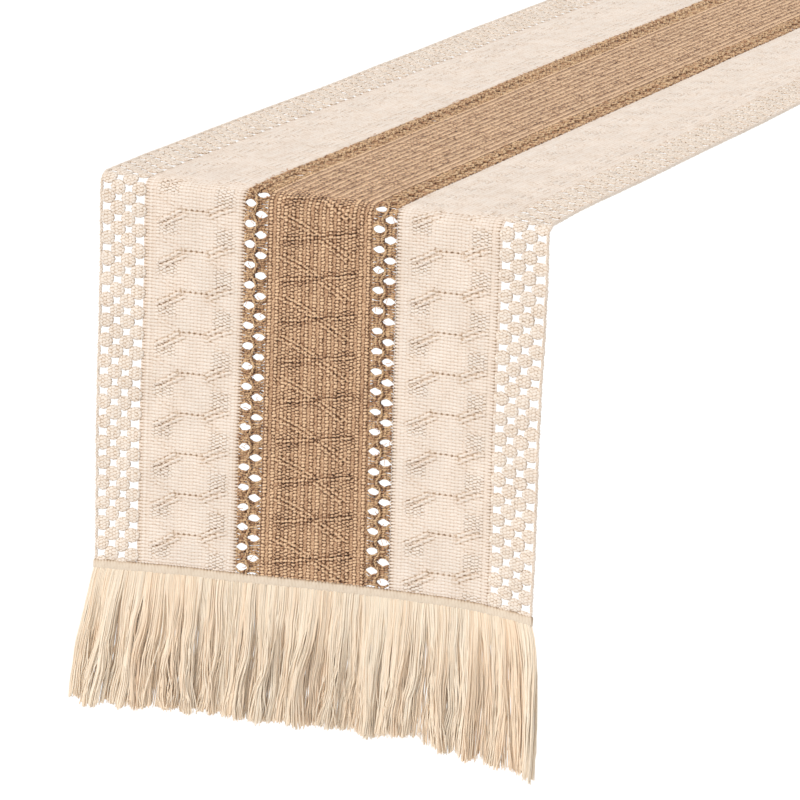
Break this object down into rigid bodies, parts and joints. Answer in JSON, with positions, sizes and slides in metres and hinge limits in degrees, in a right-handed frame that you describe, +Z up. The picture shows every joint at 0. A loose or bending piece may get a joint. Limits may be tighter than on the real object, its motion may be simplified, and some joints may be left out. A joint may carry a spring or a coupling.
{
  "type": "table runner",
  "caption": "Long narrow openwork table runner with striped bands, lattice borders and fringed ends, draped over a table.",
  "frame": {"origin": "middle of the face that rests on the table top, at the centre of the runner", "axes": "+X across the runner, +Y along the runner, +Z up; the front end hangs at -Y"},
  "size_m": [0.305, 1.4716, 0.3404],
  "materials": {
    "lattice_yarn": "soft cotton yarn, knotted openwork lattice",
    "panel_yarn": "soft cotton yarn, ribbed relief knit",
    "ladder_yarn": "fuzzy twisted yarn, openwork ladder",
    "centre_yarn": "ribbed relief knit, brown cotton yarn",
    "header_tape": "plain close weave, matte",
    "fringe_yarn": "loose brushed cotton strands"
  },
  "bodies": {
    "top_run": {"top_centre_band": "centre_yarn", "top_left_ladder": "ladder_yarn", "top_left_lattice": "lattice_yarn", "top_left_panel": "panel_yarn", "top_right_ladder": "ladder_yarn", "top_right_lattice": "lattice_yarn", "top_right_panel": "panel_yarn", "front_bend_centre_band": "centre_yarn", "front_bend_left_ladder": "ladder_yarn", "front_bend_left_lattice": "lattice_yarn", "front_bend_left_panel": "panel_yarn", "front_bend_right_ladder": "ladder_yarn", "front_bend_right_lattice": "lattice_yarn", "front_bend_right_panel": "panel_yarn", "back_bend_centre_band": "centre_yarn", "back_bend_left_ladder": "ladder_yarn", "back_bend_left_lattice": "lattice_yarn", "back_bend_left_panel": "panel_yarn", "back_bend_right_ladder": "ladder_yarn", "back_bend_right_lattice": "lattice_yarn", "back_bend_right_panel": "panel_yarn"},
    "front_drop": {"front_drop_centre_band": "centre_yarn", "front_drop_left_ladder": "ladder_yarn", "front_drop_left_lattice": "lattice_yarn", "front_drop_left_panel": "panel_yarn", "front_drop_right_ladder": "ladder_yarn", "front_drop_right_lattice": "lattice_yarn", "front_drop_right_panel": "panel_yarn", "front_tape": "header_tape"},
    "front_fringe": {"front_fringe": "fringe_yarn"},
    "back_drop": {"back_drop_centre_band": "centre_yarn", "back_drop_left_ladder": "ladder_yarn", "back_drop_left_lattice": "lattice_yarn", "back_drop_left_panel": "panel_yarn", "back_drop_right_ladder": "ladder_yarn", "back_drop_right_lattice": "lattice_yarn", "back_drop_right_panel": "panel_yarn", "back_tape": "header_tape"},
    "back_fringe": {"back_fringe": "fringe_yarn"}
  },
  "joints": [
    {"name": "front_drop_fold", "type": "hinge", "parent": "top_run", "child": "front_drop", "pos_m": [0, -0.72956, -0.00056], "axis": [-1, 0, 0], "range_deg": [0, 90], "deforming": ["front_bend_centre_band", "front_bend_left_ladder", "front_bend_left_lattice", "front_bend_left_panel", "front_bend_right_ladder", "front_bend_right_lattice", "front_bend_right_panel"]},
    {"name": "front_fringe_swing", "type": "hinge", "parent": "front_drop", "child": "front_fringe", "pos_m": [0, -0.73132, -0.255], "axis": [-1, 0, 0], "range_deg": [-60, 75]},
    {"name": "back_drop_fold", "type": "hinge", "parent": "top_run", "child": "back_drop", "pos_m": [0, 0.72956, -0.00056], "axis": [1, 0, 0], "range_deg": [0, 90], "deforming": ["back_bend_centre_band", "back_bend_left_ladder", "back_bend_left_lattice", "back_bend_left_panel", "back_bend_right_ladder", "back_bend_right_lattice", "back_bend_right_panel"]},
    {"name": "back_fringe_swing", "type": "hinge", "parent": "back_drop", "child": "back_fringe", "pos_m": [0, 0.73132, -0.255], "axis": [1, 0, 0], "range_deg": [-60, 75]}
  ]
}
